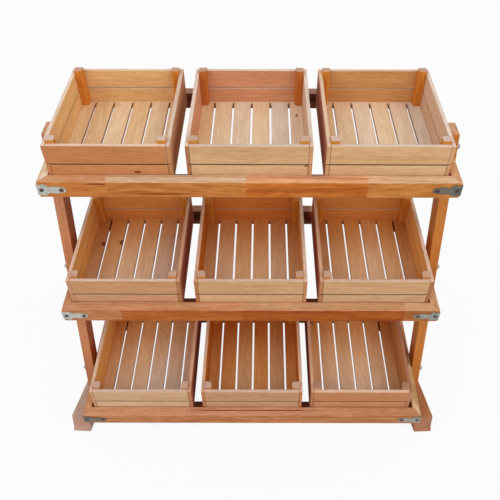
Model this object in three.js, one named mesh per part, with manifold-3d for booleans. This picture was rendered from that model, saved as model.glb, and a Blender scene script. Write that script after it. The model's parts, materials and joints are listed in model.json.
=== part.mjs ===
import * as THREE from "three";
import { mergeVertices } from "three/addons/utils/BufferGeometryUtils.js";
import Module from "manifold-3d";

// A tiered display table for a shop. Two upright posts on long feet carry three tilted shelf
// frames, one above another. Each frame swivels on a pair of pivot bolts, clamped by their nuts,
// and holds a row of loose wooden crates that lift out.
// X runs left to right, the front faces -Y and +Z is up. The origin is on the floor, below the
// middle of the table. All sizes are in millimetres.

// Crate
const CRATE_WIDTH = 353;
const CRATE_DEPTH = 413;
const BOARD_HEIGHT = 61;
const BOARD_GAP = 3;
const BOARD_THICKNESS = 11;
const CORNER_BLOCK = 25;
const CORNER_BLOCK_ROUND = 9;
const CORNER_BLOCK_RISE = 11;
const FLOOR_THICKNESS = 12;
const SLAT_PITCH = 61;
const SLOT_WIDTH = 6.5;
const SLOT_COUNT = 5;
const SLOT_MARGIN = 9;

// Shelf frame
const CRATES_PER_SHELF = 3;
const SPARE_WIDTH = 91;
const CRATE_FRONT_GAP = 2;
const CRATE_BACK_GAP = 14;
const RAIL_HEIGHT = 55;
const RAIL_THICKNESS = 34;
const SIDE_RAIL_THICKNESS = 25;
const FRONT_BATTEN_WIDTH = 38;
const BACK_BATTEN_WIDTH = 25;
const BATTEN_HEIGHT = 14;
const BATTEN_RAISE = 14;
const BATTEN_BLOCK_LENGTH = 78;
const BATTEN_BLOCK_WIDTH = 41;
const TILT = THREE.MathUtils.degToRad(16.5);
const PIVOT_AHEAD = 24;
const TIERS = [
  { name: "bottom", pivotHeight: 145, crateGaps: [35, 30], battenBlocks: true },
  { name: "middle", pivotHeight: 600, crateGaps: [43, 39], battenBlocks: true },
  { name: "top", pivotHeight: 1037, crateGaps: [41, 37], battenBlocks: false },
];

// Corner bracket, bent from plate: each wing is a broad scalloped root with a narrow tongue
const PLATE = 2;
const WING_LENGTH = 80;
const WING_BELOW_TOP = 27;
const WING_ROOT_LENGTH = 24;
const WING_ROOT_HALF = 20.5;
const WING_NECK_AT = 36;
const WING_NECK_HALF = 10.5;
const WING_SWELL_HALF = 12.5;
const WING_TONGUE_HALF = 8.5;

// Posts and feet
const POST_THICKNESS = 33;
const POST_DEPTH = 63;
const POST_ABOVE_PIVOT = 57;
const FOOT_WIDTH = 62;
const FOOT_HEIGHT = 70;
const FOOT_LENGTH = 374;
const FOOT_TOE_OUT = THREE.MathUtils.degToRad(3);
const SOLE_HEIGHT = 14;
const SOLE_STEP = 5;
const TENON_THICKNESS = 15;
const TENON_DEPTH = 40;
const TENON_LENGTH = 45;
const FOOT_BOLT_HEIGHT = 47;

// Bolts with their washers and nuts: a foot bolt has a domed head, and a pivot bolt a cap nut
const SHANK_RADIUS = 5;
const HEAD_RADIUS = 12;
const HEAD_HEIGHT = 6;
const WASHER_RADIUS = 10;
const WASHER_THICKNESS = 2;
const NUT_ACROSS_CORNERS = 19.6;
const NUT_THICKNESS = 8;
const CAP_RADIUS = 8;
const CAP_HEIGHT = 6.5;
const BOLT_END = 3;

// Clearances
const FIT = 0.3;
const SHELF_PLAY = 1;
const NUT_BELOW_CRATE = 1.5;

// Smoothness: steps to a full circle, to a bolt's dome and to one stretch of a bracket's outline
const ROUND_STEPS = 12;
const DOME_STEPS = 4;
const OUTLINE_STEPS = 2;
const MERGE_DISTANCE = 1e-4;

// Sizes that follow from those above
const CRATE_HEIGHT = 2 * BOARD_HEIGHT + BOARD_GAP;
const CRATE_INNER_WIDTH = CRATE_WIDTH - 2 * BOARD_THICKNESS;
const CRATE_INNER_DEPTH = CRATE_DEPTH - 2 * BOARD_THICKNESS;
const SHELF_INNER_WIDTH = CRATES_PER_SHELF * CRATE_WIDTH + SPARE_WIDTH;
const SHELF_INNER_DEPTH = CRATE_FRONT_GAP + CRATE_DEPTH + CRATE_BACK_GAP;
const SHELF_WIDTH = SHELF_INNER_WIDTH + 2 * SIDE_RAIL_THICKNESS;
const SHELF_DEPTH = SHELF_INNER_DEPTH + 2 * RAIL_THICKNESS;
const SEAT_DEPTH = RAIL_HEIGHT - BATTEN_RAISE - BATTEN_HEIGHT - FIT;
const PIVOT_FROM_FRONT = SHELF_DEPTH / 2 - PIVOT_AHEAD;
const PIVOT_BELOW_TOP = SEAT_DEPTH + NUT_BELOW_CRATE + NUT_ACROSS_CORNERS / 2;
const POST_INNER_X = SHELF_WIDTH / 2 + SHELF_PLAY;
const POST_X = POST_INNER_X + POST_THICKNESS / 2;
const BOLT_HOLE_RADIUS = SHANK_RADIUS + FIT;

// The table stands centred on the origin: the shelves reach further back than forward of the posts
const FRONT_REACH = PIVOT_FROM_FRONT * Math.cos(TILT) + PIVOT_BELOW_TOP * Math.sin(TILT);
const BACK_REACH =
  (SHELF_DEPTH - PIVOT_FROM_FRONT) * Math.cos(TILT) + (RAIL_HEIGHT - PIVOT_BELOW_TOP) * Math.sin(TILT);
const POST_Y = (FRONT_REACH - BACK_REACH) / 2;

const COLOURS = {
  rail: 0xbf7c49,
  sideRail: 0xb9764f,
  batten: 0xa8653a,
  post: 0xb5703f,
  foot: 0xab7860,
  crate: 0xcf9b68,
  crateFloor: 0xd2a67c,
};

const wasm = await Module();
wasm.setup();

// Joining and cutting

function solidOf(geometry) {
  const bare = geometry.clone();
  bare.deleteAttribute("normal");
  bare.deleteAttribute("uv");
  const merged = mergeVertices(bare, MERGE_DISTANCE);
  const vertProperties = merged.getAttribute("position").array;
  const triVerts = new Uint32Array(merged.index.array);
  return new wasm.Manifold(new wasm.Mesh({ numProp: 3, vertProperties, triVerts }));
}

function geometryOf(solid) {
  const mesh = solid.getMesh();
  const geometry = new THREE.BufferGeometry();
  geometry.setAttribute("position", new THREE.BufferAttribute(mesh.vertProperties, 3));
  geometry.setIndex(new THREE.BufferAttribute(mesh.triVerts, 1));
  return geometry;
}

function join(geometries) {
  const [first, ...rest] = geometries.map(solidOf);
  return geometryOf(rest.reduce((whole, piece) => whole.add(piece), first));
}

function cut(geometry, tools) {
  return geometryOf(tools.map(solidOf).reduce((whole, tool) => whole.subtract(tool), solidOf(geometry)));
}

// Basic shapes

// A box that spans the given ranges
function block([x0, x1], [y0, y1], [z0, z1]) {
  const geometry = new THREE.BoxGeometry(x1 - x0, y1 - y0, z1 - z0);
  return geometry.translate((x0 + x1) / 2, (y0 + y1) / 2, (z0 + z1) / 2);
}

function polygon(points) {
  return new THREE.Shape(points.map(([a, b]) => new THREE.Vector2(a, b)));
}

function extrude(shape, depth, curveSegments = ROUND_STEPS / 4) {
  return new THREE.ExtrudeGeometry(shape, { depth, bevelEnabled: false, curveSegments });
}

// Extrudes a shape drawn in Y and Z along X, from x0
function extrudeAlongX(shape, x0, length, curveSegments = ROUND_STEPS / 2) {
  const turn = new THREE.Matrix4().makeBasis(
    new THREE.Vector3(0, 1, 0),
    new THREE.Vector3(0, 0, 1),
    new THREE.Vector3(1, 0, 0),
  );
  return extrude(shape, length, curveSegments).applyMatrix4(turn).translate(x0, 0, 0);
}

function roundHole(y, z, radius) {
  return new THREE.Path().absarc(y, z, radius, 0, 2 * Math.PI, true);
}

// A rod along X, used to bore holes
function rodAlongX(radius, x0, x1, y, z) {
  const geometry = new THREE.CylinderGeometry(radius, radius, x1 - x0, ROUND_STEPS);
  return geometry.rotateZ(Math.PI / 2).translate((x0 + x1) / 2, y, z);
}

function wood(colour) {
  return new THREE.MeshStandardMaterial({ color: colour, roughness: 0.6, metalness: 0 });
}

function zincSteel() {
  return new THREE.MeshStandardMaterial({ color: 0xb4b4ae, roughness: 0.35, metalness: 0.9 });
}

function named(name, geometry, material) {
  const mesh = new THREE.Mesh(geometry, material);
  mesh.name = name;
  return mesh;
}

// Crates

// A corner block is square in plan, with its edge towards the inside of the crate rounded.
// Its outer edge is on the Z axis and it reaches towards -X and -Y.
function cornerBlock(height) {
  const straight = CORNER_BLOCK - CORNER_BLOCK_ROUND;
  const shape = new THREE.Shape();
  shape.moveTo(0, 0);
  shape.lineTo(-CORNER_BLOCK, 0);
  shape.lineTo(-CORNER_BLOCK, -straight);
  shape.absarc(-straight, -straight, CORNER_BLOCK_ROUND, Math.PI, 1.5 * Math.PI, false);
  shape.lineTo(0, -CORNER_BLOCK);
  return extrude(shape, height);
}

// Two boards to a wall with a gap between them, joined by the corner blocks. The side boards run
// the whole depth, and the front and back boards fit between them.
function crateWalls() {
  const x = CRATE_WIDTH / 2;
  const y = CRATE_DEPTH / 2;
  const innerX = CRATE_INNER_WIDTH / 2;
  const innerY = CRATE_INNER_DEPTH / 2;
  const pieces = [];
  for (const bottom of [0, BOARD_HEIGHT + BOARD_GAP]) {
    const heights = [bottom, bottom + BOARD_HEIGHT];
    pieces.push(block([-x, -innerX], [-y, y], heights), block([innerX, x], [-y, y], heights));
    pieces.push(block([-innerX, innerX], [-y, -innerY], heights));
    pieces.push(block([-innerX, innerX], [innerY, y], heights));
  }
  const blockBottom = FLOOR_THICKNESS + FIT;
  const blockHeight = CRATE_HEIGHT + CORNER_BLOCK_RISE - blockBottom;
  const corners = [
    [innerX, innerY],
    [-innerX, innerY],
    [-innerX, -innerY],
    [innerX, -innerY],
  ];
  corners.forEach(([cornerX, cornerY], quarter) => {
    const turned = cornerBlock(blockHeight).rotateZ((quarter * Math.PI) / 2);
    pieces.push(turned.translate(cornerX, cornerY, blockBottom));
  });
  return join(pieces);
}

// The slats of the floor, side by side, tied together at their ends
function crateFloor() {
  const x = CRATE_INNER_WIDTH / 2 - FIT;
  const y = CRATE_INNER_DEPTH / 2 - FIT;
  const slotEnd = y - SLOT_MARGIN;
  const slots = [];
  for (let i = 0; i < SLOT_COUNT; i += 1) {
    const middle = (i - (SLOT_COUNT - 1) / 2) * SLAT_PITCH;
    const across = [middle - SLOT_WIDTH / 2, middle + SLOT_WIDTH / 2];
    slots.push(block(across, [-slotEnd, slotEnd], [-FIT, FLOOR_THICKNESS + FIT]));
  }
  return cut(block([-x, x], [-y, y], [0, FLOOR_THICKNESS]), slots);
}

function crate(name) {
  const group = new THREE.Group();
  group.add(named(`${name}_walls`, crateWalls(), wood(COLOURS.crate)));
  group.add(named(`${name}_floor`, crateFloor(), wood(COLOURS.crateFloor)));
  return group;
}

// Shelf frames: drawn with the pivot axis on X, the rails level and their top at PIVOT_BELOW_TOP

const FRAME_FRONT = -PIVOT_FROM_FRONT;
const FRAME_BACK = SHELF_DEPTH - PIVOT_FROM_FRONT;
const FRAME_TOP = PIVOT_BELOW_TOP;
const FRAME_BOTTOM = FRAME_TOP - RAIL_HEIGHT;

// A front or back rail, mitred at both ends; end is -1 for the front and 1 for the back
function longRail(end) {
  const outer = end < 0 ? FRAME_FRONT : FRAME_BACK;
  const inner = outer - end * RAIL_THICKNESS;
  const corners = [
    [-SHELF_WIDTH / 2, outer],
    [SHELF_WIDTH / 2, outer],
    [SHELF_INNER_WIDTH / 2, inner],
    [-SHELF_INNER_WIDTH / 2, inner],
  ];
  return extrude(polygon(corners), RAIL_HEIGHT).translate(0, 0, FRAME_BOTTOM);
}

// A side rail, mitred to the long rails and bored for its pivot bolt; side is -1 left, 1 right
function sideRail(side) {
  const outer = (side * SHELF_WIDTH) / 2;
  const inner = (side * SHELF_INNER_WIDTH) / 2;
  const mitreGap = 2 * FIT;
  const corners = [
    [outer, FRAME_FRONT + mitreGap],
    [outer, FRAME_BACK - mitreGap],
    [inner, FRAME_BACK - RAIL_THICKNESS - mitreGap],
    [inner, FRAME_FRONT + RAIL_THICKNESS + mitreGap],
  ];
  const rail = extrude(polygon(corners), RAIL_HEIGHT).translate(0, 0, FRAME_BOTTOM);
  return cut(rail, [rodAlongX(BOLT_HOLE_RADIUS, -SHELF_WIDTH, SHELF_WIDTH, 0, 0)]);
}

// A ledge inside a long rail, a little above its underside, that the crates stand on. It may have
// a block glued to each end, which stiffens the corner of the frame.
function batten(end, ledgeWidth, withBlocks) {
  const railFace = end < 0 ? FRAME_FRONT + RAIL_THICKNESS : FRAME_BACK - RAIL_THICKNESS;
  const x = SHELF_INNER_WIDTH / 2 - FIT;
  const bottom = FRAME_BOTTOM + BATTEN_RAISE;
  const piece = (x0, x1, width) => {
    const depths = [railFace - end * FIT, railFace - end * width].sort((a, b) => a - b);
    return block([x0, x1], depths, [bottom, bottom + BATTEN_HEIGHT]);
  };
  const ledge = piece(-x, x, ledgeWidth);
  if (!withBlocks) return ledge;
  const reach = ledgeWidth + BATTEN_BLOCK_WIDTH;
  return join([
    ledge,
    piece(-x, -x + BATTEN_BLOCK_LENGTH, reach),
    piece(x - BATTEN_BLOCK_LENGTH, x, reach),
  ]);
}

// The outline of a bracket's wing, from the bend at 0 to the round end of its tongue
function wingShape(bend) {
  const tongueStart = WING_LENGTH - WING_TONGUE_HALF;
  const swell = (WING_NECK_AT + tongueStart) / 2;
  const edge = [
    [WING_ROOT_LENGTH, WING_ROOT_HALF],
    [WING_NECK_AT, WING_NECK_HALF],
    [swell, WING_SWELL_HALF],
    [tongueStart, WING_TONGUE_HALF],
  ].map(([along, half]) => new THREE.Vector2(along, half));
  const lower = edge.map((point) => new THREE.Vector2(point.x, -point.y));
  const shape = new THREE.Shape();
  shape.moveTo(bend, WING_ROOT_HALF);
  shape.lineTo(bend, -WING_ROOT_HALF);
  shape.lineTo(WING_ROOT_LENGTH, -WING_ROOT_HALF);
  shape.splineThru(lower.slice(1));
  shape.absarc(tongueStart, 0, WING_TONGUE_HALF, -Math.PI / 2, Math.PI / 2, false);
  shape.splineThru(edge.slice(0, -1).reverse());
  return shape;
}

// An angle bracket round the left front corner, whose upright edge is on the Z axis
function cornerBracket() {
  const shape = wingShape(-FIT - PLATE);
  const front = extrude(shape, PLATE, OUTLINE_STEPS).rotateX(Math.PI / 2).translate(0, -FIT, 0);
  const side = extrudeAlongX(shape, -FIT - PLATE, PLATE, OUTLINE_STEPS);
  return join([front, side]);
}

function shelf(tier) {
  const group = new THREE.Group();
  const name = `${tier.name}_shelf`;
  group.add(named(`${name}_front_rail`, longRail(-1), wood(COLOURS.rail)));
  group.add(named(`${name}_back_rail`, longRail(1), wood(COLOURS.rail)));
  group.add(named(`${name}_left_rail`, sideRail(-1), wood(COLOURS.sideRail)));
  group.add(named(`${name}_right_rail`, sideRail(1), wood(COLOURS.sideRail)));
  const frontBatten = batten(-1, FRONT_BATTEN_WIDTH, false);
  const backBatten = batten(1, BACK_BATTEN_WIDTH, tier.battenBlocks);
  group.add(named(`${name}_front_batten`, frontBatten, wood(COLOURS.batten)));
  group.add(named(`${name}_back_batten`, backBatten, wood(COLOURS.batten)));

  const corners = [
    ["left_front", -SHELF_WIDTH / 2, FRAME_FRONT],
    ["right_front", SHELF_WIDTH / 2, FRAME_FRONT],
    ["right_back", SHELF_WIDTH / 2, FRAME_BACK],
    ["left_back", -SHELF_WIDTH / 2, FRAME_BACK],
  ];
  corners.forEach(([corner, x, y], quarter) => {
    const bracket = named(`${name}_${corner}_bracket`, cornerBracket(), zincSteel());
    bracket.rotation.z = (quarter * Math.PI) / 2;
    bracket.position.set(x, y, FRAME_TOP - WING_BELOW_TOP);
    group.add(bracket);
  });

  const crateY = FRAME_FRONT + RAIL_THICKNESS + CRATE_FRONT_GAP + CRATE_DEPTH / 2;
  const [leftGap, rightGap] = tier.crateGaps;
  const places = [
    ["left", -CRATE_WIDTH - leftGap],
    ["middle", 0],
    ["right", CRATE_WIDTH + rightGap],
  ];
  for (const [place, x] of places) {
    const one = crate(`${tier.name}_${place}_crate`);
    one.position.set(x, crateY, FRAME_TOP - SEAT_DEPTH);
    group.add(one);
  }

  group.position.set(0, POST_Y, tier.pivotHeight);
  group.rotation.x = TILT;
  return group;
}

// Posts, feet and bolts: drawn for the right side, with Y counted from the middle of the post

// The outline of a bolt's dome from its rim to its tip, as radius and place along the bolt
function dome(radius, height, rim) {
  const sphereRadius = (radius ** 2 + height ** 2) / (2 * height);
  const angle = Math.asin(radius / sphereRadius);
  const arc = new THREE.Path();
  arc.absarc(0, rim + height - sphereRadius, sphereRadius, Math.PI / 2 - angle, Math.PI / 2, false);
  const outline = arc.getPoints(DOME_STEPS).map((point) => [point.x, point.y]);
  outline.at(-1)[0] = 0;
  return outline;
}

// A hexagon nut that starts at the given place along a bolt
function hexagonNut(from) {
  const radius = NUT_ACROSS_CORNERS / 2;
  const nut = new THREE.CylinderGeometry(radius, radius, NUT_THICKNESS, 6);
  return nut.translate(0, from + NUT_THICKNESS / 2, 0);
}

// A bolt along X: its washer and nut lie inside innerX, and its outer end is as outlined
function boltAlongX(innerX, outerOutline, outerNuts) {
  const washerOuter = innerX - FIT;
  const washerInner = washerOuter - WASHER_THICKNESS;
  const nutInner = washerInner - NUT_THICKNESS;
  const end = nutInner - BOLT_END;
  const outline = [
    [0, end],
    [SHANK_RADIUS, end],
    [SHANK_RADIUS, washerInner],
    [WASHER_RADIUS, washerInner],
    [WASHER_RADIUS, washerOuter],
    [SHANK_RADIUS, washerOuter],
    ...outerOutline,
  ].map(([radius, along]) => new THREE.Vector2(radius, along));
  const bolt = new THREE.LatheGeometry(outline, ROUND_STEPS);
  return join([bolt, hexagonNut(nutInner), ...outerNuts]).rotateZ(-Math.PI / 2);
}

// A carriage bolt whose domed head lies outside outerX
function footBolt(innerX, outerX) {
  const seat = outerX + FIT;
  return boltAlongX(innerX, [[SHANK_RADIUS, seat], ...dome(HEAD_RADIUS, HEAD_HEIGHT, seat)], []);
}

// A length of stud with a washer and a cap nut outside outerX
function pivotBolt(innerX, outerX) {
  const seat = outerX + FIT;
  const nutSeat = seat + WASHER_THICKNESS;
  const capOutline = [
    [SHANK_RADIUS, seat],
    [WASHER_RADIUS, seat],
    [WASHER_RADIUS, nutSeat],
    [CAP_RADIUS, nutSeat],
    ...dome(CAP_RADIUS, CAP_HEIGHT, nutSeat + NUT_THICKNESS),
  ];
  return boltAlongX(innerX, capOutline, [hexagonNut(nutSeat)]);
}

// Turns a piece about its post, so that the front end of the foot points a little outwards
function toedOut(geometry) {
  return geometry.translate(-POST_X, 0, 0).rotateZ(FOOT_TOE_OUT).translate(POST_X, 0, 0);
}

// The bore for a foot bolt, square to the foot
function footBoltBore() {
  return toedOut(rodAlongX(BOLT_HOLE_RADIUS, POST_X - FOOT_WIDTH, POST_X + FOOT_WIDTH, 0, FOOT_BOLT_HEIGHT));
}

// An upright post with a tenon for its foot. Its top is cut to the slope of the shelves.
function post() {
  const y = POST_DEPTH / 2;
  const top = TIERS.at(-1).pivotHeight + POST_ABOVE_PIVOT;
  const rise = y * Math.tan(TILT);
  const outline = polygon([[-y, FOOT_HEIGHT], [y, FOOT_HEIGHT], [y, top + rise], [-y, top - rise]]);
  for (const tier of TIERS) outline.holes.push(roundHole(0, tier.pivotHeight, BOLT_HOLE_RADIUS));
  const body = extrudeAlongX(outline, POST_INNER_X, POST_THICKNESS);
  const tenonX = TENON_THICKNESS / 2;
  const tenonY = TENON_DEPTH / 2;
  const tenon = block(
    [POST_X - tenonX, POST_X + tenonX],
    [-tenonY, tenonY],
    [FOOT_HEIGHT - TENON_LENGTH, FOOT_HEIGHT + FIT],
  );
  return cut(join([body, tenon]), [footBoltBore()]);
}

// A long foot on the floor, centred below its post, with a mortise for the post's tenon. Its sole
// stands out a little at both ends.
function foot() {
  const acrossX = [POST_X - FOOT_WIDTH / 2, POST_X + FOOT_WIDTH / 2];
  const y = FOOT_LENGTH / 2;
  const body = block(acrossX, [SOLE_STEP - y, y - SOLE_STEP], [0, FOOT_HEIGHT - FIT]);
  const sole = block(acrossX, [-y, y], [0, SOLE_HEIGHT]);
  const mortiseX = TENON_THICKNESS / 2 + FIT;
  const mortiseY = TENON_DEPTH / 2 + FIT;
  const mortise = block(
    [POST_X - mortiseX, POST_X + mortiseX],
    [-mortiseY, mortiseY],
    [FOOT_HEIGHT - TENON_LENGTH - FIT, FOOT_HEIGHT + FIT],
  );
  return cut(toedOut(join([body, sole])), [mortise, footBoltBore()]);
}

// Mirrors a right-hand piece into its left-hand twin, and turns its faces back to point outwards
function handed(geometry, side) {
  if (side > 0) return geometry;
  const mirrored = geometry.index ? geometry.toNonIndexed() : geometry.clone();
  mirrored.scale(-1, 1, 1);
  const position = mirrored.getAttribute("position");
  const second = new THREE.Vector3();
  const third = new THREE.Vector3();
  for (let i = 0; i < position.count; i += 3) {
    second.fromBufferAttribute(position, i + 1);
    third.fromBufferAttribute(position, i + 2);
    position.setXYZ(i + 1, third.x, third.y, third.z);
    position.setXYZ(i + 2, second.x, second.y, second.z);
  }
  return mirrored;
}

function stand() {
  const group = new THREE.Group();
  for (const [name, side] of [["left", -1], ["right", 1]]) {
    group.add(named(`${name}_post`, handed(post(), side), wood(COLOURS.post)));
    group.add(named(`${name}_foot`, handed(foot(), side), wood(COLOURS.foot)));
    const bolt = toedOut(footBolt(POST_X - FOOT_WIDTH / 2, POST_X + FOOT_WIDTH / 2));
    const boltMesh = named(`${name}_foot_bolt`, handed(bolt, side), zincSteel());
    boltMesh.position.z = FOOT_BOLT_HEIGHT;
    group.add(boltMesh);
    for (const tier of TIERS) {
      const pivot = handed(pivotBolt(SHELF_INNER_WIDTH / 2, POST_INNER_X + POST_THICKNESS), side);
      const pivotMesh = named(`${name}_${tier.name}_pivot_bolt`, pivot, zincSteel());
      pivotMesh.position.z = tier.pivotHeight;
      group.add(pivotMesh);
    }
  }
  group.position.y = POST_Y;
  return group;
}

const table = new THREE.Group();
table.add(stand(), ...TIERS.map(shelf));

export default table;
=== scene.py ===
import json
import math

import bmesh
import bpy
import numpy as np
from mathutils import Matrix, Vector


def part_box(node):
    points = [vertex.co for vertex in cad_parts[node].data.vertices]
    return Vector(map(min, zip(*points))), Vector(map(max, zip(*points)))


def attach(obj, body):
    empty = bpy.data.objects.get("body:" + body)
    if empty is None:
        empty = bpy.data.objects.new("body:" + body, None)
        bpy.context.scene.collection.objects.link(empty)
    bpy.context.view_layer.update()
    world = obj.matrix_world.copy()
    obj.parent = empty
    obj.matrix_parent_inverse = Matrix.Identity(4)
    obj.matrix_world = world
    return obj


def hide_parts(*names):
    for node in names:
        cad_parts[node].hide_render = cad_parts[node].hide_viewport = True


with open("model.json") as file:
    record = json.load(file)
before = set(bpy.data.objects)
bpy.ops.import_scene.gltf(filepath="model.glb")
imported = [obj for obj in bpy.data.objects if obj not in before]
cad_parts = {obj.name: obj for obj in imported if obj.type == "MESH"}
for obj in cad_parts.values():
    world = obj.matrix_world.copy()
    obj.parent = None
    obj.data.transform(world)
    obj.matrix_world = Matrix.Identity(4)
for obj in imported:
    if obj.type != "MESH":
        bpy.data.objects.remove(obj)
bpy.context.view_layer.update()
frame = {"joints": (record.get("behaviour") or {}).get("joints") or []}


# Feet
# Two long runners that stand on the floor, toed out a little, each of one length of hardwood on a
# slightly longer sole, oiled. Their edges are rounded over, and a mortise in the top takes the post.

FOOT_SIZE = Vector((0.062, 0.374, 0.0697))
TOE_OUT = {"left": -math.radians(3), "right": math.radians(3)}
SOLE_HEIGHT, SOLE_STEP = 0.014, 0.005
SOLE_ROUND, FOOT_ROUND = 0.003, 0.002
ROUND_WELD = 0.0003
MORTISE, MORTISE_TOP = (0.0156, 0.0406), 0.1
FIT_GAP = 0.0003
BOLT_HOLE, BORE_LENGTH, BORE_SIDES = 0.0053, 0.2, 20
FOOT_BOLT_HEIGHT = 0.047
FOOT_SEED = 10
X, Y, Z = range(3)
UP = Vector((0, 0, 1))

# How near two places count as one, how squarely a part has to point, and which corners are sharp
NEAR = 0.001
SQUARE, FLAT = 0.9, 0.98
SHARP = math.radians(30)


def chart(red, green, blue):
    """A colour as read from a colour chart, 0 to 255, in the linear values that shaders take."""
    return tuple(((c / 255 + 0.055) / 1.055) ** 2.4 for c in (red, green, blue))


def sawn_block(name, corner, opposite):
    """A block of wood between two corners, left in edit mode to be shaped."""
    corner, opposite = Vector(corner), Vector(opposite)
    bpy.ops.mesh.primitive_cube_add(size=1, location=(corner + opposite) / 2)
    piece = bpy.context.object
    piece.name = piece.data.name = name
    piece.scale = [abs(length) for length in opposite - corner]
    bpy.ops.object.transform_apply()
    bpy.ops.object.mode_set(mode="EDIT")
    return piece


def pick(piece, kind, wanted):
    """Selects the parts of a piece in edit mode whose middle and direction are the wanted ones."""
    bpy.ops.mesh.select_mode(type=kind)
    bpy.ops.mesh.select_all(action="DESELECT")
    shape = bmesh.from_edit_mesh(piece.data)
    if kind == "VERT":
        found = [v for v in shape.verts if wanted(v.co, v.normal)]
    elif kind == "EDGE":
        ends = [(e, e.verts[0].co, e.verts[1].co) for e in shape.edges]
        found = [e for e, a, b in ends if wanted((a + b) / 2, (b - a).normalized())]
    else:
        found = [f for f in shape.faces if wanted(f.calc_center_median(), f.normal)]
    for part in found:
        part.select_set(True)
    shape.select_flush_mode()
    bmesh.update_edit_mesh(piece.data)


def bevel(width, segments=2):
    bpy.ops.mesh.bevel(offset=width, segments=segments, affect="EDGES", clamp_overlap=True)


def ease_edges(width, segments=2):
    """Takes the sharpness off every edge of the piece that is being shaped."""
    bpy.ops.mesh.select_mode(type="EDGE")
    bpy.ops.mesh.select_all(action="DESELECT")
    bpy.ops.mesh.edges_select_sharp(sharpness=SHARP)
    bevel(width, segments)


def put_down(piece):
    """Leaves edit mode, with the piece alone selected."""
    bpy.ops.object.mode_set(mode="OBJECT")
    bpy.ops.object.select_all(action="DESELECT")
    piece.select_set(True)
    bpy.context.view_layer.objects.active = piece
    return piece


def take_up():
    """Goes on shaping the active piece, with all of it selected."""
    bpy.ops.object.mode_set(mode="EDIT")
    bpy.ops.mesh.select_all(action="SELECT")


def draw_out(*move):
    """Extrudes what is selected of the piece that is being shaped."""
    bpy.ops.mesh.extrude_region_move(TRANSFORM_OT_translate={"value": move})


def moved(piece, matrix):
    """Moves or turns a piece for good."""
    put_down(piece)
    piece.matrix_world = matrix
    bpy.ops.object.transform_apply()
    return piece


def turn_about(piece, place, angle):
    """Turns a piece about the vertical line through a place."""
    turn = Matrix.Rotation(angle, 4, "Z")
    return moved(piece, Matrix.Translation(place) @ turn @ Matrix.Translation(-place))


def cut_away(piece, tool):
    """Cuts the tool's shape out of the piece and takes the tool away."""
    put_down(piece)
    cut = piece.modifiers.new("cut", "BOOLEAN")
    cut.operation = "DIFFERENCE"
    cut.solver = "EXACT"
    cut.object = tool
    bpy.ops.object.modifier_apply(modifier=cut.name)
    bpy.data.objects.remove(tool)
    return piece


def bore(piece, place, turn=0.0):
    """Drills a bolt hole through the piece from side to side, turned about the vertical."""
    bpy.ops.mesh.primitive_cylinder_add(
        vertices=BORE_SIDES, radius=BOLT_HOLE, depth=BORE_LENGTH,
        location=place, rotation=(0, math.pi / 2, turn),
    )
    bpy.ops.object.transform_apply()
    return cut_away(piece, bpy.context.object)


SIDE, END, TOP, EDGE = range(4)


def lay_grain(piece, along, part=0):
    """Puts a piece down and writes where each face corner lies in its own length of wood: along the
    grain, across and through. Notes each face's board, and if it is a side, an end, a top or an edge."""
    mesh = put_down(piece).data
    corners = np.array([mesh.vertices[i.vertex_index].co for i in mesh.loops])
    middle = (corners.min(0) + corners.max(0)) / 2
    order = [along, (along + 1) % 3, (along + 2) % 3]
    grain = mesh.attributes.new("grain", "FLOAT_VECTOR", "CORNER")
    grain.data.foreach_set("vector", (corners - middle)[:, order].astype(np.float32).ravel())
    kinds, parts = [], []
    for face in mesh.polygons:
        normal = face.normal
        if abs(normal[along]) > SQUARE:
            kinds.append(END)
        elif normal.z > SQUARE:
            kinds.append(TOP)
        elif max(abs(n) for n in normal) < FLAT:
            kinds.append(EDGE)
        else:
            kinds.append(SIDE)
        parts.append(part(face.center) if callable(part) else part)
    for name, values in (("kind", kinds), ("part", parts)):
        mesh.attributes.new(name, "INT", "FACE").data.foreach_set("value", values)


# End grain against the sides, how boards differ in tone, and how far apart their stretches of grain lie
END_GRAIN = (0.80, 0.74, 0.70)
TONE_SPREAD = 0.04
GRAIN_SHIFT = np.array((4, 0.02, 0.03))
GRAIN_ROWS = 40
NO_KNOT = 9.0


def read_all(items, name, kind=np.int32, width=1):
    """A property of every item of a mesh, in one row: each has as many numbers as the width."""
    values = np.zeros(len(items) * width, kind)
    items.foreach_get(name, values)
    return values


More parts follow.
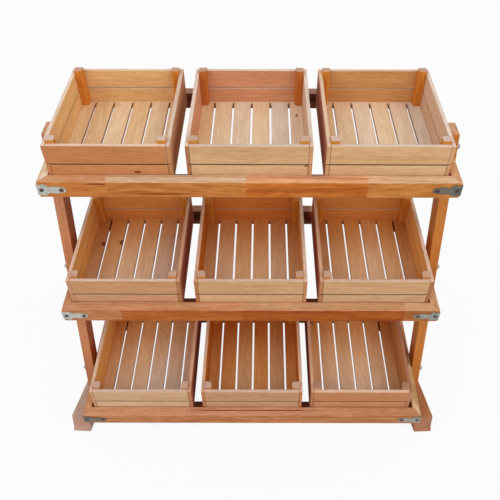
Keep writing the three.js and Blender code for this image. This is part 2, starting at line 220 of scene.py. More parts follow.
def finish_wood(piece, boards, seed, knots=()):
    """Gives each board of a piece its tones and its own stretch of grain. A board is a dictionary
    of chart colours for its side, top and end, and for the far end of its top where that is deeper.
    The top is mostly paler than the side, partly as a painted sheen of the light from above, and the
    deeper far end is painted shade. A knot is a board's number, its place in the board and its size."""
    mesh = piece.data
    draw = np.random.default_rng(seed)
    corner_count = len(mesh.loops)
    totals = read_all(mesh.polygons, "loop_total")
    kind = np.repeat(read_all(mesh.attributes["kind"].data, "value"), totals)
    owner = np.repeat(read_all(mesh.attributes["part"].data, "value"), totals)
    grain = read_all(mesh.attributes["grain"].data, "vector", np.float32, 3).reshape(-1, 3)
    tones = np.ones((corner_count, 4), np.float32)
    for number, board in enumerate(boards):
        side = np.array(chart(*board["side"]))
        top = np.array(chart(*board.get("top", board["side"])))
        end = np.array(chart(*board["end"])) if "end" in board else side * END_GRAIN
        light = draw.uniform(1 - TONE_SPREAD, 1 + TONE_SPREAD)
        # The top tone, mostly paler than the side, is partly a painted sheen of the light from above
        for which, tone in ((SIDE, side), (END, end), (TOP, top), (EDGE, (side + top) / 2)):
            tones[(owner == number) & (kind == which), :3] = np.array(tone) * light
        # The top fades towards the far tone along the grain: painted shade at the back of the lower floors
        if "far" in board:
            upper = (owner == number) & (kind != SIDE)
            along = grain[upper, :1]
            share = (along - along.min()) / (along.max() - along.min())
            tones[upper, :3] *= 1 - share + share * np.array(chart(*board["far"])) / top
    colour = mesh.attributes.new("tone", "FLOAT_COLOR", "CORNER")
    colour.data.foreach_set("color", tones.ravel())
    knot = np.full((corner_count, 3), NO_KNOT, np.float32)
    for number, place, size in knots:
        knot[owner == number] = (grain[owner == number] - np.array(place, np.float32)) / size
    mesh.attributes.new("knot", "FLOAT_VECTOR", "CORNER").data.foreach_set("vector", knot.ravel())
    shifts = draw.uniform(-GRAIN_SHIFT, GRAIN_SHIFT, (len(boards), 3)).astype(np.float32)
    shifts[:, 1] += draw.integers(0, GRAIN_ROWS, len(boards))
    mesh.attributes["grain"].data.foreach_set("vector", (grain + shifts[owner]).ravel())


def feed(node, inputs):
    """Fills a node's inputs from pairs of a socket and a value, or an output to link."""
    for socket, value in inputs:
        if isinstance(value, bpy.types.NodeSocket):
            node.id_data.links.new(value, node.inputs[socket])
        else:
            node.inputs[socket].default_value = value


def add_node(tree, kind, inputs=(), **settings):
    made = tree.nodes.new(kind)
    for name, value in settings.items():
        setattr(made, name, value)
    feed(made, inputs)
    return made


def maths(operation, first, second=0.0):
    pairs = ((0, first), (1, second))
    return add_node(first.id_data, "ShaderNodeMath", pairs, operation=operation).outputs[0]


def ramp(value, low, high, low_out=0.0, high_out=1.0):
    """Maps a value smoothly from one range to another."""
    pairs = (
        ("Value", value), ("From Min", low), ("From Max", high),
        ("To Min", low_out), ("To Max", high_out),
    )
    made = add_node(value.id_data, "ShaderNodeMapRange", pairs, interpolation_type="SMOOTHSTEP")
    return made.outputs["Result"]


def tinted(colour, tint):
    """A colour multiplied by a tint."""
    pairs = ((0, 1.0), (6, colour), (7, (*tint, 1)))
    made = add_node(colour.id_data, "ShaderNodeMix", pairs, data_type="RGBA", blend_type="MULTIPLY")
    return made.outputs[2]


def blended(share, first, second):
    pairs = ((0, share), (6, first), (7, second))
    return add_node(share.id_data, "ShaderNodeMix", pairs, data_type="RGBA").outputs[2]


OILED_SHINE = 0.1
RING_WIDTH = 0.0065
PITH_DEPTH = 0.055
RING_SWAY = 0.05
KNOT_PUSH, KNOT_REACH = 0.012, 0.035
KNOT_SHAPE = (0.4, 1, 1)
KNOT_HEART, KNOT_EDGE = 0.0045, 0.0115
BARK_RADIUS, BARK_CORE, BARK_EDGE = 0.0055, 0.0009, 0.0028
RING_MARK, FIBRE_MARK, DRIFT_MARK, FLECK_MARK = 0.22, 1.7, 1.0, 1.5
PORE_DEPTH = 0.6
GRAIN_BUMP, GRAIN_DEPTH = 0.25, 0.0006
SMOOTH_FIBRE, ROUGH_FIBRE = 0.42, 0.60

# The ranges that noise is read over, how strong knots are, and what each mark does to the wood's tone
NOISE_RANGE, HEART_RANGE = (0.3, 0.7), (0.54, 0.70)
KNOT_SHARE, BARK_SHARE = 0.85, 0.95
PALE_TINT = (1.16, 1.22, 1.30)
DEEP_TINT = (0.84, 0.74, 0.62)
STREAK_TINT = (0.46, 0.26, 0.17)
KNOT_TINT = (0.52, 0.26, 0.17)
BARK_TINT = (0.24, 0.11, 0.08)

grain_group = bpy.data.node_groups.new("Wood grain", "ShaderNodeTree")
for way, kind, names in (
    ("INPUT", "Vector", ("Grain", "Knot")), ("INPUT", "Color", ("Tone",)),
    ("INPUT", "Float", ("Contrast", "Figure", "Streaks")),
    ("OUTPUT", "Color", ("Colour",)), ("OUTPUT", "Float", ("Roughness", "Height")),
):
    for name in names:
        grain_group.interface.new_socket(name, in_out=way, socket_type=f"NodeSocket{kind}")
given = grain_group.nodes.new("NodeGroupInput").outputs


def grain_noise(stretch, detail, roughness=0.55):
    """Noise drawn out along the grain: stretch is how often it changes in a metre, each way."""
    pairs = ((0, given["Grain"]), (1, stretch))
    scaled = add_node(grain_group, "ShaderNodeVectorMath", pairs, operation="MULTIPLY")
    pairs = (("Vector", scaled.outputs[0]), ("Scale", 1.0), ("Detail", detail), ("Roughness", roughness))
    return add_node(grain_group, "ShaderNodeTexNoise", pairs).outputs[0]


fibre = grain_noise((8, 260, 260), 3, 0.6)
drift = grain_noise((1.8, 15, 15), 2)
sway = grain_noise((2.6, 11, 11), 2)
heart = ramp(grain_noise((2.4, 52, 52), 2), *HEART_RANGE)
flecks = grain_noise((38, 210, 210), 2)
pores = grain_noise((70, 1400, 1400), 2)

# Growth rings lie round a pith below the board, swayed by slow noise and pushed aside by a knot
near = add_node(
    grain_group, "ShaderNodeVectorMath", ((0, given["Knot"]), (1, KNOT_SHAPE)), operation="MULTIPLY"
)
knot_distance = add_node(
    grain_group, "ShaderNodeVectorMath", ((0, near.outputs[0]),), operation="LENGTH"
).outputs["Value"]
pushed = ramp(knot_distance, 0.0, KNOT_REACH, KNOT_PUSH, 0.0)
spot = add_node(grain_group, "ShaderNodeSeparateXYZ", ((0, given["Grain"]),)).outputs
whole_boards = maths("ROUND", spot["Y"])
swayed = maths("MULTIPLY_ADD", sway, RING_SWAY)
across = maths("ADD", maths("SUBTRACT", spot["Y"], whole_boards), swayed)
across = maths("ADD", across, pushed)
below = maths("ADD", spot["Z"], PITH_DEPTH)
across_squared, below_squared = (maths("POWER", way, 2.0) for way in (across, below))
radius = maths("SQRT", maths("ADD", across_squared, below_squared))
rings = maths("SINE", maths("MULTIPLY", radius, 2 * math.pi / RING_WIDTH))

figure = maths("MULTIPLY", rings, given["Figure"])
marks = maths("MULTIPLY", figure, RING_MARK)
for noise, strength in ((fibre, FIBRE_MARK), (drift, DRIFT_MARK), (flecks, FLECK_MARK)):
    mark = maths("MULTIPLY", maths("SUBTRACT", noise, 0.5), strength)
    marks = maths("ADD", marks, mark)
depth = maths("ADD", maths("MULTIPLY", marks, given["Contrast"]), 0.5)
depth.node.use_clamp = True
pale = tinted(given["Tone"], PALE_TINT)
wood = blended(depth, pale, tinted(given["Tone"], DEEP_TINT))
streak = maths("MULTIPLY", heart, given["Streaks"])
heartwood = ramp(knot_distance, KNOT_HEART, KNOT_EDGE, KNOT_SHARE, 0.0)
off_ring = maths("ABSOLUTE", maths("SUBTRACT", knot_distance, BARK_RADIUS))
bark_ring = ramp(off_ring, BARK_CORE, BARK_EDGE, BARK_SHARE, 0.0)
for share, tint in ((streak, STREAK_TINT), (heartwood, KNOT_TINT), (bark_ring, BARK_TINT)):
    wood = blended(share, wood, tinted(given["Tone"], tint))
roughness = ramp(fibre, *NOISE_RANGE, SMOOTH_FIBRE, ROUGH_FIBRE)
height = maths("ADD", fibre, maths("MULTIPLY", pores, PORE_DEPTH))
pairs = (("Colour", wood), ("Roughness", roughness), ("Height", height))
add_node(grain_group, "NodeGroupOutput", pairs)


def new_material(name):
    """A material, its nodes and its shader."""
    material = bpy.data.materials.new(name)
    material.use_nodes = True
    tree = material.node_tree
    return material, tree, tree.nodes["Principled BSDF"]


def wood_material(name, contrast, figure, streaks, shine=OILED_SHINE):
    """Wood whose grain follows each board."""
    material, tree, shader = new_material(name)
    grain, knot, tone = (
        add_node(tree, "ShaderNodeAttribute", attribute_name=attribute).outputs
        for attribute in ("grain", "knot", "tone")
    )
    pairs = (
        ("Grain", grain["Vector"]), ("Knot", knot["Vector"]), ("Tone", tone["Color"]),
        ("Contrast", contrast), ("Figure", figure), ("Streaks", streaks),
    )
    group = add_node(tree, "ShaderNodeGroup", pairs, node_tree=grain_group)
    pairs = (("Strength", GRAIN_BUMP), ("Distance", GRAIN_DEPTH), ("Height", group.outputs["Height"]))
    bump = add_node(tree, "ShaderNodeBump", pairs)
    feed(shader, (
        ("Base Color", group.outputs["Colour"]), ("Roughness", group.outputs["Roughness"]),
        ("Specular IOR Level", shine), ("Normal", bump.outputs[0]),
    ))
    return material


FOOT_TONES = {
    "left": {"side": (170, 136, 122), "top": (192, 166, 151), "end": (182, 144, 128)},
    "right": {"side": (180, 118, 80), "top": (187, 120, 79), "end": (172, 120, 92)},
}
foot_wood = wood_material("foot_wood", contrast=0.9, figure=0.8, streaks=0.15)
for number, side in enumerate(("left", "right")):
    post_low, post_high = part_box(f"{side}_post")
    post_foot = Vector(((post_low.x + post_high.x) / 2, (post_low.y + post_high.y) / 2, 0))
    half = Vector((FOOT_SIZE.x / 2, FOOT_SIZE.y / 2 - SOLE_STEP, 0))
    corner, opposite = post_foot - half + SOLE_HEIGHT * UP, post_foot + half + FOOT_SIZE.z * UP
    foot = sawn_block(f"{side}_foot_runner", corner, opposite)
    pick(foot, "FACE", lambda at, way: way.z < -SQUARE)
    draw_out(0, 0, 0)
    bpy.ops.transform.resize(value=(1, 1 + SOLE_STEP / half.y, 1), center_override=post_foot)
    draw_out(0, 0, -SOLE_HEIGHT)
    toe = half.y + SOLE_STEP - NEAR
    pick(foot, "EDGE", lambda at, way: (
        abs(way.x) > SQUARE and abs(at.y - post_foot.y) > toe and at.z > NEAR
    ))
    bevel(SOLE_ROUND, segments=3)
    ease_edges(FOOT_ROUND)
    bpy.ops.mesh.select_all(action="SELECT")
    bpy.ops.mesh.remove_doubles(threshold=ROUND_WELD)
    put_down(foot)
    half = Vector((MORTISE[0] / 2, MORTISE[1] / 2, 0))
    corner = post_foot - half + (post_low.z - FIT_GAP) * UP
    mortise = sawn_block("mortise", corner, post_foot + half + MORTISE_TOP * UP)
    cut_away(foot, turn_about(mortise, post_foot, -TOE_OUT[side]))
    bore(foot, post_foot + FOOT_BOLT_HEIGHT * UP)
    lay_grain(foot, Y)
    finish_wood(foot, [FOOT_TONES[side]], FOOT_SEED + number)
    foot.data.materials.append(foot_wood)
    turn_about(foot, post_foot, TOE_OUT[side])
    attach(foot, "stand")
    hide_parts(f"{side}_foot")


# Posts
# Two uprights of planed hardwood, one outside each end of the shelves, with the top sawn to the
# shelves' slope. A tenon goes into the foot, and a bolt hole is drilled for each shelf.

POST_EASE = 0.002
POST_TOP_RISE = 0.0093
TENON, TENON_INSET = (0.015, 0.040), 0.004
INNER_FACE_DEPTH = 0.0005
POST_SEED = 20

shelf_joints = [j for j in frame["joints"] if j["type"] == "hinge"]
pivots = {j["name"].split("_")[0]: Vector(j["pos_m"]) for j in shelf_joints}

# The tone of a post, and of its inner face, which is painted darker as the shade that falls on it
POST_TONES = {
    "left": ({"side": (194, 131, 93), "end": (206, 158, 128)}, {"side": (160, 92, 62)}),
    "right": ({"side": (193, 122, 57), "end": (206, 158, 122)}, {"side": (190, 122, 68)}),
}
post_wood = wood_material("post_wood", contrast=0.7, figure=0.9, streaks=0.3)
for number, side in enumerate(("left", "right")):
    low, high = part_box(f"{side}_post")
    foot_top = FOOT_SIZE.z + FIT_GAP
    top = high.z - POST_TOP_RISE
    middle = (low + high) / 2
    post = sawn_block(f"{side}_post_upright", (low.x, low.y, foot_top), (high.x, high.y, top))
    for half, rise in ((-1, -POST_TOP_RISE), (1, POST_TOP_RISE)):
        pick(post, "VERT", lambda at, way: at.z > middle.z and half * (at.y - middle.y) > 0)
        bpy.ops.transform.translate(value=(0, 0, rise))
    ease_edges(POST_EASE)
    pick(post, "FACE", lambda at, way: way.z < -FLAT)
    bpy.ops.mesh.inset(thickness=TENON_INSET)
    shoulder = 2 * (POST_EASE + TENON_INSET)
    ratio = (TENON[0] / (high.x - low.x - shoulder), TENON[1] / (high.y - low.y - shoulder), 1)
    bpy.ops.transform.resize(value=ratio, center_override=(middle.x, middle.y, foot_top))
    draw_out(0, 0, low.z - foot_top)
    put_down(post)
    for pivot in pivots.values():
        bore(post, (middle.x, middle.y, pivot.z))
    bore(post, (middle.x, middle.y, FOOT_BOLT_HEIGHT), TOE_OUT[side])
    # The inner face is a board of its own, which takes the painted shade
    inner_face = min(abs(low.x), abs(high.x)) + INNER_FACE_DEPTH
    lay_grain(post, Z, lambda at: int(abs(at.x) < inner_face))
    finish_wood(post, POST_TONES[side], POST_SEED + number)
    post.data.materials.append(post_wood)
    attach(post, "stand")
    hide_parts(f"{side}_post")


# Shelf rails
# Each shelf frame is four rails, mitred at the corners. A rail is glued up end to end from
# shorter blocks of different tones, planed and oiled, and the side rails are drilled to swivel.

RAIL_EASE = 0.0015
RAIL_BOTTOM, RAIL_TOP = -0.017, 0.038
FRAME_FRONT, FRAME_BACK = -0.2245, 0.2725
FRAME_HALF, FRAME_HALF_INSIDE = 0.600, 0.575
RAIL_THICKNESS = 0.034
MITRE_GAP = 0.0003
RAIL_SEED = 30

lift = next(j for j in frame["joints"] if j["type"] == "slide")
TILT = math.atan2(-lift["axis"][1], lift["axis"][2])
TIERS = ("bottom", "middle", "top")


def copy_of(piece, name):
    twin = piece.copy()
    twin.data = piece.data.copy()
    twin.name = twin.data.name = name
    bpy.context.scene.collection.objects.link(twin)
    return put_down(twin)


def set_on_shelf(piece, tier, place=(0, 0, 0), turn=0.0):
    """Moves a piece drawn on a level shelf, with the swivel axis on X, to its place on a tilted one."""
    on_shelf = Matrix.Translation(place) @ Matrix.Rotation(turn, 4, "Z")
    moved(piece, Matrix.Translation(pivots[tier]) @ Matrix.Rotation(TILT, 4, "X") @ on_shelf)


def mitred_rail(name, outer, inner, way, shorter):
    """A rail from an outer to an inner corner, whose inner face is shortened at both ends."""
    rail = sawn_block(name, (*outer, RAIL_BOTTOM), (*inner, RAIL_TOP))
    across = Y if way == X else X
    for end in (-1, 1):
        pick(rail, "VERT", lambda at, _: at[way] * end > 0 and abs(at[across] - inner[across]) < NEAR)
        move = Vector((0, 0, 0))
        move[way] = -end * shorter
        bpy.ops.transform.translate(value=move)
    ease_edges(RAIL_EASE)
    return put_down(rail)


def saw_through(place, square_to, **how):
    """Splits the whole of the piece that is being shaped along a plane."""
    bpy.ops.mesh.select_all(action="SELECT")
    bpy.ops.mesh.bisect(plane_co=place, plane_no=square_to, **how)


def glue_up(rail, way, joints):
    """Splits the faces of a rail where its blocks are glued end to end."""
    put_down(rail)
    take_up()
    normal = Vector((0, 0, 0))
    normal[way] = 1
    for joint in joints:
        saw_through(normal * joint, normal)
    lay_grain(rail, way, lambda at: sum(at[way] > j for j in joints))


def boards_of(table, names, kinds=("side", "top", "end")):
    """The boards that a string names, each with the tones that the table gives for these kinds of face."""
    return [dict(zip(kinds, table[name])) for name in names.split()]


# The tones of the sides and tops of the rails' blocks. The sides of nut_brown, rust and golden_tan are
# painted darker, as the shade under the top shelf
RAIL_TONES = {
    "streaky": ((194, 120, 60), (203, 150, 108)),
    "orange": ((194, 122, 60), (218, 186, 152)),
    "flame": ((190, 108, 41), (218, 162, 120)),
    "yellow": ((195, 127, 62), (211, 174, 137)),
    "pink_tan": ((186, 122, 77), (194, 141, 104)),
    "nut_brown": ((170, 93, 39), (194, 139, 99)),
    "rust": ((167, 86, 29), (198, 149, 110)),
    "golden_tan": ((170, 100, 52), (200, 155, 116)),
    "red_grain": ((190, 124, 78), (198, 141, 109)),
    "dull_rose": ((128, 76, 54), (180, 136, 116)),
    "beige": ((198, 160, 128), (226, 206, 182)),
    "straw": ((190, 146, 98), (208, 176, 130)),
}

# Where the blocks of each rail are glued end to end, and their tones
RAIL_BLOCKS = {
    "top_front": ((-0.406, -0.009, 0.335), "streaky orange flame yellow"),
    # The middle front rail's blocks carry painted shade from the top shelf above
    "middle_front": ((-0.413, -0.027, 0.490), "pink_tan nut_brown rust golden_tan"),
    "bottom_front": ((-0.236, 0.178), "pink_tan red_grain pink_tan"),
    "top_back": ((-0.31, 0.12, 0.41), "red_grain dull_rose dull_rose red_grain"),
    "middle_back": ((-0.25, 0.21), "pink_tan dull_rose orange"),
    "bottom_back": ((-0.38, 0.02, 0.33), "orange dull_rose dull_rose orange"),
    "top_left": ((0.06,), "beige pink_tan"),
    "top_right": ((0.02,), "streaky orange"),
    "middle_left": ((-0.05,), "pink_tan orange"),
    "middle_right": ((0.08,), "golden_tan red_grain"),
    "bottom_left": ((0.01,), "pink_tan red_grain"),
    "bottom_right": ((0.03,), "straw pink_tan"),
}

# Dark streaks in the rails, each a knot drawn out along the grain
RAIL_STREAKS = {
    "top_front": [
        (0, (-0.420, -0.017, 0.0215), (2.4, 0.30, 0.30)),
        (1, (-0.256, -0.017, -0.0155), (4.1, 0.24, 0.24)),
    ],
    "bottom_front": [(1, (0.010, 0.0035, 0.0275), (11.6, 0.3, 0.3))],
}
rail_wood = wood_material("rail_wood", contrast=1.3, figure=1.0, streaks=0.45)
rail_patterns = {}
for place, end, y in (("front", -1, FRAME_FRONT), ("back", 1, FRAME_BACK)):
    outer, inner = (-FRAME_HALF, y), (FRAME_HALF, y - end * RAIL_THICKNESS)
    rail = mitred_rail(f"{place}_rail_pattern", outer, inner, X, FRAME_HALF - FRAME_HALF_INSIDE)
    rail_patterns[place] = (rail, X)
for place, side in (("left", -1), ("right", 1)):
    outer = (side * FRAME_HALF, FRAME_FRONT + 2 * MITRE_GAP)
    inner = (side * FRAME_HALF_INSIDE, FRAME_BACK - 2 * MITRE_GAP)
    rail = mitred_rail(f"{place}_rail_pattern", outer, inner, Y, RAIL_THICKNESS)
    rail_patterns[place] = (bore(rail, ((outer[X] + inner[X]) / 2, 0, 0)), Y)
for row, tier in enumerate(TIERS):
    for column, (place, (pattern, way)) in enumerate(rail_patterns.items()):
        rail = copy_of(pattern, f"{tier}_{place}_rail_laminated")
        joints, names = RAIL_BLOCKS[f"{tier}_{place}"]
        glue_up(rail, way, joints)
        seed = RAIL_SEED + len(rail_patterns) * row + column
        streaks = RAIL_STREAKS.get(f"{tier}_{place}", ())
        finish_wood(rail, boards_of(RAIL_TONES, names), seed, streaks)
        set_on_shelf(rail, tier)
        rail.data.materials.append(rail_wood)
        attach(rail, f"{tier}_shelf")
        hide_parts(f"{tier}_shelf_{place}_rail")
for pattern, way in rail_patterns.values():
    bpy.data.objects.remove(pattern)


# Battens
# A ledge of hardwood screwed inside the front and the back rail carries the crates. On the lower
# two shelves a short block is glued to each end of the back ledge, in the corner of the frame.

BATTEN_EASE = 0.001
BATTEN_HALF = 0.5747
BATTEN_BOTTOM, BATTEN_TOP = -0.003, 0.011
FRONT_LEDGE = (-0.1902, -0.1525)
BACK_LEDGE = (0.2135, 0.2382)
END_BLOCK_LENGTH, END_BLOCK_WIDTH = 0.078, 0.041
LEDGE_SEED = 50
LEDGE_TONE = {"side": (116, 66, 42), "top": (128, 78, 56)}

batten_wood = wood_material("batten_wood", contrast=0.7, figure=0.8, streaks=0.4)
for row, tier in enumerate(TIERS):
    for column, (place, depths) in enumerate((("front", FRONT_LEDGE), ("back", BACK_LEDGE))):
        low = (-BATTEN_HALF, depths[0], BATTEN_BOTTOM)
        ledge = sawn_block(f"{tier}_{place}_ledge", low, (BATTEN_HALF, depths[1], BATTEN_TOP))
        if place == "back" and tier != "top":
            block_end = BATTEN_HALF - END_BLOCK_LENGTH
            for end in (-1, 1):
                saw_through((end * block_end, 0, 0), (1, 0, 0))
            pick(ledge, "FACE", lambda at, way: way.y < -SQUARE and abs(at.x) > block_end)
            draw_out(0, -END_BLOCK_WIDTH, 0)
        ease_edges(BATTEN_EASE, segments=1)
        lay_grain(ledge, X)
        finish_wood(ledge, [LEDGE_TONE], LEDGE_SEED + 2 * row + column)
        set_on_shelf(ledge, tier)
        ledge.data.materials.append(batten_wood)
        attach(ledge, f"{tier}_shelf")
        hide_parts(f"{tier}_shelf_{place}_batten")


# Corner brackets
# An angle bracket stamped from galvanised plate is bent round each corner of a shelf frame. Each
# wing has a scalloped outline and is held by two round-headed screws.

PLATE = 0.002
PLATE_GAP, PLATE_WELD = 0.0003, 0.00005
BEND_ROUND = 0.0016
BRACKET_BELOW_TOP = 0.027

# The outline of a wing: how far from the corner, and half how wide it is there
WING_STATIONS = (
    (0.004, 0.0190), (0.007, 0.0176), (0.010, 0.0174), (0.013, 0.0190), (0.016, 0.0203), (0.019, 0.0205),
    (0.022, 0.0196), (0.025, 0.0172), (0.028, 0.0138), (0.031, 0.0112), (0.034, 0.0101), (0.038, 0.0102),
    (0.043, 0.0114), (0.048, 0.0124), (0.053, 0.0125), (0.057, 0.0116), (0.061, 0.0102), (0.065, 0.0096),
    (0.069, 0.0097), (0.072, 0.0093), (0.0745, 0.0083), (0.0768, 0.0068), (0.0784, 0.0051),
    (0.0794, 0.0032), (0.080, 0.0008),
)
SCREWS_AT, SCREW_SIDES = (0.011, 0.067), 14
SMOOTH = math.radians(40)


def turned(name, stations, sides):
    """A piece turned on the X axis: a disc is drawn out from station to station, each a place along
    the axis and a radius there."""
    (start, radius), *others = stations
    bpy.ops.mesh.primitive_circle_add(
        vertices=sides, radius=radius, fill_type="NGON",
        location=(start, 0, 0), rotation=(0, math.pi / 2, 0),
    )
    piece = bpy.context.object
    piece.name = piece.data.name = name
    bpy.ops.object.transform_apply()
    take_up()
    bpy.ops.mesh.select_mode(type="FACE")
    for place, wide in others:
        draw_out(place - start, 0, 0)
        ratio = wide / radius
        bpy.ops.transform.resize(value=(1, ratio, ratio), center_override=(place, 0, 0))
        start, radius = place, wide
    bpy.ops.mesh.select_all(action="SELECT")
    bpy.ops.mesh.normals_make_consistent(inside=False)
    put_down(piece)
    bpy.ops.object.shade_smooth_by_angle(angle=SMOOTH)
    return piece


def joined(pieces, name):
    """Several objects made one."""
    bpy.ops.object.select_all(action="DESELECT")
    for piece in pieces:
        piece.select_set(True)
    bpy.context.view_layer.objects.active = pieces[0]
    bpy.ops.object.join()
    pieces[0].name = pieces[0].data.name = name
    return put_down(pieces[0])


def copy_at(pattern, name, place, turn):
    """A copy of a piece, turned about the vertical and moved to its place."""
    return moved(copy_of(pattern, name), Matrix.Translation(place) @ Matrix.Rotation(turn, 4, "Z"))


def bracket_plate():
    """The plate of a bracket round the left front corner, whose upright edge is the Z axis."""
    bpy.ops.mesh.primitive_plane_add(size=1, rotation=(math.pi / 2, 0, 0))
    plate = bpy.context.object
    bend = -PLATE_GAP - PLATE
    first, half = WING_STATIONS[0]
    plate.scale = (first - bend, 2 * half, 1)
    plate.location = ((first + bend) / 2, -PLATE_GAP, 0)
    bpy.ops.object.transform_apply()
    take_up()
    pick(plate, "EDGE", lambda at, way: at.x > first - NEAR)
    start = first
    for place, wide in WING_STATIONS[1:]:
        draw_out(place - start, 0, 0)
        bpy.ops.transform.resize(value=(1, 1, wide / half), center_override=(place, 0, 0))
        start, half = place, wide
    put_down(plate)
    thick = plate.modifiers.new("thick", "SOLIDIFY")
    thick.thickness = PLATE
    thick.offset = -1 if plate.data.polygons[0].normal.y > 0 else 1
    bpy.ops.object.modifier_apply(modifier=thick.name)
    take_up()
    saw_through((0, 0, 0), (-1, 1, 0), clear_outer=True)
    put_down(plate)
    twin = moved(copy_of(plate, "side_wing"), Matrix.Rotation(math.pi, 4, Vector((1, 1, 0))))
    plate = joined([plate, twin], "bracket_pattern")
    take_up()
    bpy.ops.mesh.remove_doubles(threshold=PLATE_WELD)
    bpy.ops.mesh.normals_make_consistent(inside=False)
    pick(plate, "EDGE", lambda at, way: abs(way.z) > SQUARE and max(at.x, at.y) < -NEAR)
    bevel(BEND_ROUND, segments=3)
    return put_down(plate)


# How far the patches and the clouds of a metal turn one tone into the other, and change its shine
PATCH_SHARE, CLOUD_SHARE = 0.45, 0.55
PATCHES_PER_CLOUD = 3
SMOOTHER, ROUGHER = 0.08, 0.1


def metal_material(name, low, high, scale, metallic, rough):
    """Metal mottled between two chart colours, in crystal-like patches and clouds."""
    material, tree, shader = new_material(name)
    place = add_node(tree, "ShaderNodeTexCoord").outputs["Object"]
    cells = add_node(tree, "ShaderNodeTexVoronoi", (("Vector", place), ("Scale", scale))).outputs["Color"]
    cell = add_node(tree, "ShaderNodeSeparateColor", ((0, cells),)).outputs[0]
    pairs = (("Vector", place), ("Scale", scale / PATCHES_PER_CLOUD), ("Detail", 4.0))
    cloud = add_node(tree, "ShaderNodeTexNoise", pairs).outputs[0]
    mix = maths("MULTIPLY_ADD", cell, PATCH_SHARE)
    feed(mix.node, ((2, ramp(cloud, *NOISE_RANGE, 0.0, CLOUD_SHARE)),))
    colour = blended(mix, (*chart(*low), 1), (*chart(*high), 1))
    shine = ramp(cloud, *NOISE_RANGE, rough - SMOOTHER, rough + ROUGHER)
    feed(shader, (("Base Color", colour), ("Roughness", shine), ("Metallic", metallic)))
    return material


ZINC_TONES = {
    "bright": ((168, 172, 162), (206, 208, 198)),
    "weathered": ((120, 122, 114), (172, 174, 164)),
    "dull": ((84, 82, 74), (128, 126, 116)),
}
zinc = {}
for age, tones in ZINC_TONES.items():
    zinc[age] = metal_material(f"galvanised_{age}", *tones, scale=260, metallic=0.6, rough=0.5)
screw_steel = metal_material(
    "screw_steel", (58, 42, 40), (104, 84, 80), scale=500, metallic=0.5, rough=0.45
)
SCREW_HEAD = (
    (0.0, 0.0062), (0.0009, 0.0066), (0.0018, 0.0058), (0.0025, 0.0038), (0.0026, 0.0020), (0.0014, 0.0013),
)

plate = bracket_plate()
plate.data.materials.append(zinc["bright"])
screw = turned("screw_pattern", SCREW_HEAD, SCREW_SIDES)
screw.data.materials.append(screw_steel)
plate_face = -PLATE_GAP - PLATE
parts = [plate]
for at in SCREWS_AT:
    parts.append(copy_at(screw, "screw", (at, plate_face, 0), -math.pi / 2))
    parts.append(copy_at(screw, "screw", (plate_face, at, 0), math.pi))
bracket_pattern = joined(parts, "bracket_pattern")
bpy.data.objects.remove(screw)

CORNERS = (
    ("left_front", -FRAME_HALF, FRAME_FRONT), ("right_front", FRAME_HALF, FRAME_FRONT),
    ("right_back", FRAME_HALF, FRAME_BACK), ("left_back", -FRAME_HALF, FRAME_BACK),
)
AGED = {
    "top_right_front": "dull", "bottom_left_front": "dull", "top_left_back": "dull",
    "middle_right_front": "weathered", "bottom_right_front": "weathered", "middle_left_back": "weathered",
}
for tier in TIERS:
    for quarter, (corner, x, y) in enumerate(CORNERS):
        bracket = copy_of(bracket_pattern, f"{tier}_{corner}_angle_bracket")
        set_on_shelf(bracket, tier, (x, y, RAIL_TOP - BRACKET_BELOW_TOP), quarter * math.pi / 2)
        bracket.data.materials[0] = zinc[AGED.get(f"{tier}_{corner}", "bright")]
        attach(bracket, f"{tier}_shelf")
        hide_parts(f"{tier}_shelf_{corner}_bracket")
bpy.data.objects.remove(bracket_pattern)


# Bolts
# A stud of bright zinc goes through each post and side rail, with a washer and a cap nut outside and
# a washer and a plain nut inside. A carriage bolt with a domed head holds each post in its foot.

HEAD_RADIUS, HEAD_HEIGHT = 0.012, 0.006
HEAD_RIM, HEAD_RIM_SHARE = 0.0001, 0.98
SHANK_RADIUS = 0.005
WASHER_RADIUS, WASHER_THICKNESS, WASHER_RIM = 0.010, 0.002, 0.0003
NUT_RADIUS, NUT_THICKNESS, NUT_CHAMFER, NUT_FACE_SHARE = 0.0098, 0.008, 0.0009, 0.86
CAP_RADIUS, CAP_HEIGHT, CAP_LAP = 0.008, 0.0065, 0.0006
DOME_STEPS, DOME_TIP = 8, 0.3
BOLT_END, BOLT_TIP, BOLT_TIP_SHARE = 0.003, 0.0007, 0.78
STUD_IN_CAP = 0.002
THREAD_RISE, THREAD_STEPS, THREAD_ROOT_SHARE = 0.0004, 6, 0.9
BOLT_GAP = 0.0003
ROUND_SIDES = 28


def dome(radius, height, rim):
    """The stations of a dome from its rim almost to its tip."""
    sphere = (radius ** 2 + height ** 2) / (2 * height)
    steps = [1 - step / (DOME_STEPS + DOME_TIP) for step in range(DOME_STEPS + 1)]
    angles = [math.asin(radius / sphere) * step for step in steps]
    return [(rim + height - sphere + sphere * math.cos(a), sphere * math.sin(a)) for a in angles]


def washer(start):
    end = start + WASHER_THICKNESS
    places = ((start, -WASHER_RIM), (start + WASHER_RIM, 0), (end - WASHER_RIM, 0), (end, -WASHER_RIM))
    return turned("washer", [(x, WASHER_RADIUS + wider) for x, wider in places], ROUND_SIDES)


def hexagon_nut(start):
    end = start + NUT_THICKNESS
    face = NUT_RADIUS * NUT_FACE_SHARE
    body = [(start + NUT_CHAMFER, NUT_RADIUS), (end - NUT_CHAMFER, NUT_RADIUS)]
    return turned("nut", [(start, face), *body, (end, face)], sides=6)


